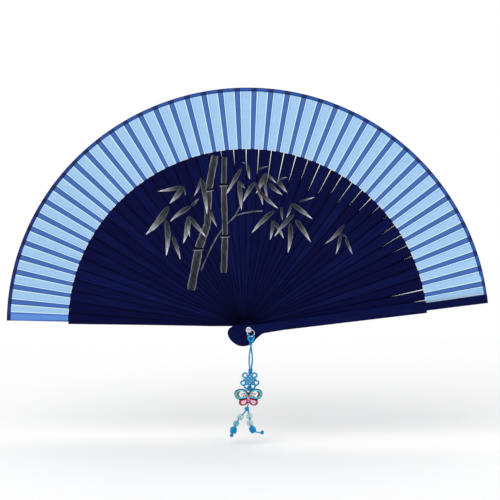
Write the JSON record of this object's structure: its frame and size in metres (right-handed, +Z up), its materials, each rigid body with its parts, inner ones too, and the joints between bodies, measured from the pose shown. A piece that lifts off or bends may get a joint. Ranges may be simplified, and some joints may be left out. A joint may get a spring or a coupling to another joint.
{
  "type": "folding hand fan",
  "caption": "Open folding hand fan: dark lacquered wooden slats on one rivet, pleated silk leaf with bound edge, and a knotted cord charm with beads.",
  "frame": {"origin": "on the rivet's axis, halfway through the stack of sticks", "axes": "+Z up, +X to the right of a viewer in front, +Y away from that viewer, along the rivet"},
  "size_m": [0.385, 0.0442, 0.2798],
  "materials": {
    "lacquered_wood": "navy lacquer, satin",
    "silk": "light blue silk, fine plain weave",
    "binding": "mid blue edge tape",
    "nickel": "bright nickel plate",
    "cord": "satin braided cord",
    "enamel": "enamel in metal cells",
    "clear_bead": "clear faceted",
    "aqua_bead": "aqua faceted"
  },
  "bodies": {
    "root": {"guard_back": "lacquered_wood", "rivet": "nickel", "rivet_cap": "nickel", "silk_leaf": "silk", "edge_binding": "binding"},
    "rib_01": {"rib_01": "lacquered_wood"},
    "rib_02": {"rib_02": "lacquered_wood"},
    "rib_03": {"rib_03": "lacquered_wood"},
    "rib_04": {"rib_04": "lacquered_wood"},
    "rib_05": {"rib_05": "lacquered_wood"},
    "rib_06": {"rib_06": "lacquered_wood"},
    "rib_07": {"rib_07": "lacquered_wood"},
    "rib_08": {"rib_08": "lacquered_wood"},
    "rib_09": {"rib_09": "lacquered_wood"},
    "rib_10": {"rib_10": "lacquered_wood"},
    "rib_11": {"rib_11": "lacquered_wood"},
    "rib_12": {"rib_12": "lacquered_wood"},
    "rib_13": {"rib_13": "lacquered_wood"},
    "rib_14": {"rib_14": "lacquered_wood"},
    "rib_15": {"rib_15": "lacquered_wood"},
    "rib_16": {"rib_16": "lacquered_wood"},
    "rib_17": {"rib_17": "lacquered_wood"},
    "rib_18": {"rib_18": "lacquered_wood"},
    "rib_19": {"rib_19": "lacquered_wood"},
    "rib_20": {"rib_20": "lacquered_wood"},
    "rib_21": {"rib_21": "lacquered_wood"},
    "rib_22": {"rib_22": "lacquered_wood"},
    "rib_23": {"rib_23": "lacquered_wood"},
    "rib_24": {"rib_24": "lacquered_wood"},
    "rib_25": {"rib_25": "lacquered_wood"},
    "rib_26": {"rib_26": "lacquered_wood"},
    "rib_27": {"rib_27": "lacquered_wood"},
    "rib_28": {"rib_28": "lacquered_wood"},
    "rib_29": {"rib_29": "lacquered_wood"},
    "rib_30": {"rib_30": "lacquered_wood"},
    "rib_31": {"rib_31": "lacquered_wood"},
    "rib_32": {"rib_32": "lacquered_wood"},
    "rib_33": {"rib_33": "lacquered_wood"},
    "rib_34": {"rib_34": "lacquered_wood"},
    "rib_35": {"rib_35": "lacquered_wood"},
    "rib_36": {"rib_36": "lacquered_wood"},
    "rib_37": {"rib_37": "lacquered_wood"},
    "rib_38": {"rib_38": "lacquered_wood"},
    "rib_39": {"rib_39": "lacquered_wood"},
    "rib_40": {"rib_40": "lacquered_wood"},
    "rib_41": {"rib_41": "lacquered_wood"},
    "rib_42": {"rib_42": "lacquered_wood"},
    "rib_43": {"rib_43": "lacquered_wood"},
    "front_guard": {"guard_front": "lacquered_wood"},
    "ring": {"hanging_ring": "nickel"},
    "charm": {"hanger_cord": "cord", "charm_knot": "cord", "butterfly_charm": "enamel", "collar_bead": "cord"},
    "tails": {"tail_cord_left": "cord", "tail_cord_right": "cord", "bead_left_upper": "clear_bead", "bead_left_lower": "aqua_bead", "bead_right_upper": "clear_bead", "bead_right_lower": "clear_bead"}
  },
  "joints": [
    {"name": "fan_fold", "type": "hinge", "parent": "root", "child": "front_guard", "pos_m": [0, 0, 0], "axis": [0, -1, 0], "range_deg": [0, 171.05], "deforming": ["silk_leaf", "edge_binding"]},
    {"name": "rib_01_turn", "type": "hinge", "parent": "root", "child": "rib_01", "pos_m": [0, 0, 0], "axis": [0, -1, 0], "range_deg": [-1, 4.73]},
    {"name": "rib_02_turn", "type": "hinge", "parent": "root", "child": "rib_02", "pos_m": [0, 0, 0], "axis": [0, -1, 0], "range_deg": [-1, 8.47]},
    {"name": "rib_03_turn", "type": "hinge", "parent": "root", "child": "rib_03", "pos_m": [0, 0, 0], "axis": [0, -1, 0], "range_deg": [-1, 12.21]},
    {"name": "rib_04_turn", "type": "hinge", "parent": "root", "child": "rib_04", "pos_m": [0, 0, 0], "axis": [0, -1, 0], "range_deg": [-1, 15.96]},
    {"name": "rib_05_turn", "type": "hinge", "parent": "root", "child": "rib_05", "pos_m": [0, 0, 0], "axis": [0, -1, 0], "range_deg": [-1, 19.72]},
    {"name": "rib_06_turn", "type": "hinge", "parent": "root", "child": "rib_06", "pos_m": [0, 0, 0], "axis": [0, -1, 0], "range_deg": [-1, 23.5]},
    {"name": "rib_07_turn", "type": "hinge", "parent": "root", "child": "rib_07", "pos_m": [0, 0, 0], "axis": [0, -1, 0], "range_deg": [-1, 27.3]},
    {"name": "rib_08_turn", "type": "hinge", "parent": "root", "child": "rib_08", "pos_m": [0, 0, 0], "axis": [0, -1, 0], "range_deg": [-1, 31.11]},
    {"name": "rib_09_turn", "type": "hinge", "parent": "root", "child": "rib_09", "pos_m": [0, 0, 0], "axis": [0, -1, 0], "range_deg": [-1, 34.94]},
    {"name": "rib_10_turn", "type": "hinge", "parent": "root", "child": "rib_10", "pos_m": [0, 0, 0], "axis": [0, -1, 0], "range_deg": [-1, 38.8]},
    {"name": "rib_11_turn", "type": "hinge", "parent": "root", "child": "rib_11", "pos_m": [0, 0, 0], "axis": [0, -1, 0], "range_deg": [-1, 42.67]},
    {"name": "rib_12_turn", "type": "hinge", "parent": "root", "child": "rib_12", "pos_m": [0, 0, 0], "axis": [0, -1, 0], "range_deg": [-1, 46.57]},
    {"name": "rib_13_turn", "type": "hinge", "parent": "root", "child": "rib_13", "pos_m": [0, 0, 0], "axis": [0, -1, 0], "range_deg": [-1, 50.49]},
    {"name": "rib_14_turn", "type": "hinge", "parent": "root", "child": "rib_14", "pos_m": [0, 0, 0], "axis": [0, -1, 0], "range_deg": [-1, 54.43]},
    {"name": "rib_15_turn", "type": "hinge", "parent": "root", "child": "rib_15", "pos_m": [0, 0, 0], "axis": [0, -1, 0], "range_deg": [-1, 58.4]},
    {"name": "rib_16_turn", "type": "hinge", "parent": "root", "child": "rib_16", "pos_m": [0, 0, 0], "axis": [0, -1, 0], "range_deg": [-1, 62.38]},
    {"name": "rib_17_turn", "type": "hinge", "parent": "root", "child": "rib_17", "pos_m": [0, 0, 0], "axis": [0, -1, 0], "range_deg": [-1, 66.37]},
    {"name": "rib_18_turn", "type": "hinge", "parent": "root", "child": "rib_18", "pos_m": [0, 0, 0], "axis": [0, -1, 0], "range_deg": [-1, 70.39]},
    {"name": "rib_19_turn", "type": "hinge", "parent": "root", "child": "rib_19", "pos_m": [0, 0, 0], "axis": [0, -1, 0], "range_deg": [-1, 74.41]},
    {"name": "rib_20_turn", "type": "hinge", "parent": "root", "child": "rib_20", "pos_m": [0, 0, 0], "axis": [0, -1, 0], "range_deg": [-1, 78.44]},
    {"name": "rib_21_turn", "type": "hinge", "parent": "root", "child": "rib_21", "pos_m": [0, 0, 0], "axis": [0, -1, 0], "range_deg": [-1, 82.48]},
    {"name": "rib_22_turn", "type": "hinge", "parent": "root", "child": "rib_22", "pos_m": [0, 0, 0], "axis": [0, -1, 0], "range_deg": [-1, 86.53]},
    {"name": "rib_23_turn", "type": "hinge", "parent": "root", "child": "rib_23", "pos_m": [0, 0, 0], "axis": [0, -1, 0], "range_deg": [-1, 90.57]},
    {"name": "rib_24_turn", "type": "hinge", "parent": "root", "child": "rib_24", "pos_m": [0, 0, 0], "axis": [0, -1, 0], "range_deg": [-1, 94.61]},
    {"name": "rib_25_turn", "type": "hinge", "parent": "root", "child": "rib_25", "pos_m": [0, 0, 0], "axis": [0, -1, 0], "range_deg": [-1, 98.64]},
    {"name": "rib_26_turn", "type": "hinge", "parent": "root", "child": "rib_26", "pos_m": [0, 0, 0], "axis": [0, -1, 0], "range_deg": [-1, 102.66]},
    {"name": "rib_27_turn", "type": "hinge", "parent": "root", "child": "rib_27", "pos_m": [0, 0, 0], "axis": [0, -1, 0], "range_deg": [-1, 106.68]},
    {"name": "rib_28_turn", "type": "hinge", "parent": "root", "child": "rib_28", "pos_m": [0, 0, 0], "axis": [0, -1, 0], "range_deg": [-1, 110.67]},
    {"name": "rib_29_turn", "type": "hinge", "parent": "root", "child": "rib_29", "pos_m": [0, 0, 0], "axis": [0, -1, 0], "range_deg": [-1, 114.65]},
    {"name": "rib_30_turn", "type": "hinge", "parent": "root", "child": "rib_30", "pos_m": [0, 0, 0], "axis": [0, -1, 0], "range_deg": [-1, 118.62]},
    {"name": "rib_31_turn", "type": "hinge", "parent": "root", "child": "rib_31", "pos_m": [0, 0, 0], "axis": [0, -1, 0], "range_deg": [-1, 122.56]},
    {"name": "rib_32_turn", "type": "hinge", "parent": "root", "child": "rib_32", "pos_m": [0, 0, 0], "axis": [0, -1, 0], "range_deg": [-1, 126.48]},
    {"name": "rib_33_turn", "type": "hinge", "parent": "root", "child": "rib_33", "pos_m": [0, 0, 0], "axis": [0, -1, 0], "range_deg": [-1, 130.38]},
    {"name": "rib_34_turn", "type": "hinge", "parent": "root", "child": "rib_34", "pos_m": [0, 0, 0], "axis": [0, -1, 0], "range_deg": [-1, 134.25]},
    {"name": "rib_35_turn", "type": "hinge", "parent": "root", "child": "rib_35", "pos_m": [0, 0, 0], "axis": [0, -1, 0], "range_deg": [-1, 138.11]},
    {"name": "rib_36_turn", "type": "hinge", "parent": "root", "child": "rib_36", "pos_m": [0, 0, 0], "axis": [0, -1, 0], "range_deg": [-1, 141.94]},
    {"name": "rib_37_turn", "type": "hinge", "parent": "root", "child": "rib_37", "pos_m": [0, 0, 0], "axis": [0, -1, 0], "range_deg": [-1, 145.75]},
    {"name": "rib_38_turn", "type": "hinge", "parent": "root", "child": "rib_38", "pos_m": [0, 0, 0], "axis": [0, -1, 0], "range_deg": [-1, 149.55]},
    {"name": "rib_39_turn", "type": "hinge", "parent": "root", "child": "rib_39", "pos_m": [0, 0, 0], "axis": [0, -1, 0], "range_deg": [-1, 153.33]},
    {"name": "rib_40_turn", "type": "hinge", "parent": "root", "child": "rib_40", "pos_m": [0, 0, 0], "axis": [0, -1, 0], "range_deg": [-1, 157.09]},
    {"name": "rib_41_turn", "type": "hinge", "parent": "root", "child": "rib_41", "pos_m": [0, 0, 0], "axis": [0, -1, 0], "range_deg": [-1, 160.84]},
    {"name": "rib_42_turn", "type": "hinge", "parent": "root", "child": "rib_42", "pos_m": [0, 0, 0], "axis": [0, -1, 0], "range_deg": [-1, 164.58]},
    {"name": "rib_43_turn", "type": "hinge", "parent": "root", "child": "rib_43", "pos_m": [0, 0, 0], "axis": [0, -1, 0], "range_deg": [-1, 168.32]},
    {"name": "ring_swing", "type": "hinge", "parent": "root", "child": "ring", "pos_m": [0, -0.02107, 0], "axis": [0, -1, 0], "range_deg": [-35, 35]},
    {"name": "charm_swing", "type": "hinge", "parent": "ring", "child": "charm", "pos_m": [0.00161, -0.02107, -0.00498], "axis": [-1, 0, 0], "range_deg": [0, 90]},
    {"name": "tails_swing", "type": "hinge", "parent": "charm", "child": "tails", "pos_m": [-0.0015, -0.02107, -0.0639], "axis": [0, -1, 0], "range_deg": [-40, 40]}
  ],
  "couplings": [
    {"joint": "rib_01_turn", "follows": "fan_fold", "ratio": 0.02182},
    {"joint": "rib_02_turn", "follows": "fan_fold", "ratio": 0.04366},
    {"joint": "rib_03_turn", "follows": "fan_fold", "ratio": 0.06554},
    {"joint": "rib_04_turn", "follows": "fan_fold", "ratio": 0.08747},
    {"joint": "rib_05_turn", "follows": "fan_fold", "ratio": 0.10947},
    {"joint": "rib_06_turn", "follows": "fan_fold", "ratio": 0.13155},
    {"joint": "rib_07_turn", "follows": "fan_fold", "ratio": 0.15374},
    {"joint": "rib_08_turn", "follows": "fan_fold", "ratio": 0.17603},
    {"joint": "rib_09_turn", "follows": "fan_fold", "ratio": 0.19844},
    {"joint": "rib_10_turn", "follows": "fan_fold", "ratio": 0.22097},
    {"joint": "rib_11_turn", "follows": "fan_fold", "ratio": 0.24363},
    {"joint": "rib_12_turn", "follows": "fan_fold", "ratio": 0.26643},
    {"joint": "rib_13_turn", "follows": "fan_fold", "ratio": 0.28935},
    {"joint": "rib_14_turn", "follows": "fan_fold", "ratio": 0.31239},
    {"joint": "rib_15_turn", "follows": "fan_fold", "ratio": 0.33555},
    {"joint": "rib_16_turn", "follows": "fan_fold", "ratio": 0.35883},
    {"joint": "rib_17_turn", "follows": "fan_fold", "ratio": 0.38219},
    {"joint": "rib_18_turn", "follows": "fan_fold", "ratio": 0.40565},
    {"joint": "rib_19_turn", "follows": "fan_fold", "ratio": 0.42917},
    {"joint": "rib_20_turn", "follows": "fan_fold", "ratio": 0.45275},
    {"joint": "rib_21_turn", "follows": "fan_fold", "ratio": 0.47637},
    {"joint": "rib_22_turn", "follows": "fan_fold", "ratio": 0.5},
    {"joint": "rib_23_turn", "follows": "fan_fold", "ratio": 0.52363},
    {"joint": "rib_24_turn", "follows": "fan_fold", "ratio": 0.54725},
    {"joint": "rib_25_turn", "follows": "fan_fold", "ratio": 0.57083},
    {"joint": "rib_26_turn", "follows": "fan_fold", "ratio": 0.59435},
    {"joint": "rib_27_turn", "follows": "fan_fold", "ratio": 0.61781},
    {"joint": "rib_28_turn", "follows": "fan_fold", "ratio": 0.64117},
    {"joint": "rib_29_turn", "follows": "fan_fold", "ratio": 0.66445},
    {"joint": "rib_30_turn", "follows": "fan_fold", "ratio": 0.68761},
    {"joint": "rib_31_turn", "follows": "fan_fold", "ratio": 0.71065},
    {"joint": "rib_32_turn", "follows": "fan_fold", "ratio": 0.73357},
    {"joint": "rib_33_turn", "follows": "fan_fold", "ratio": 0.75637},
    {"joint": "rib_34_turn", "follows": "fan_fold", "ratio": 0.77903},
    {"joint": "rib_35_turn", "follows": "fan_fold", "ratio": 0.80156},
    {"joint": "rib_36_turn", "follows": "fan_fold", "ratio": 0.82397},
    {"joint": "rib_37_turn", "follows": "fan_fold", "ratio": 0.84626},
    {"joint": "rib_38_turn", "follows": "fan_fold", "ratio": 0.86845},
    {"joint": "rib_39_turn", "follows": "fan_fold", "ratio": 0.89053},
    {"joint": "rib_40_turn", "follows": "fan_fold", "ratio": 0.91253},
    {"joint": "rib_41_turn", "follows": "fan_fold", "ratio": 0.93446},
    {"joint": "rib_42_turn", "follows": "fan_fold", "ratio": 0.95634},
    {"joint": "rib_43_turn", "follows": "fan_fold", "ratio": 0.97818}
  ]
}
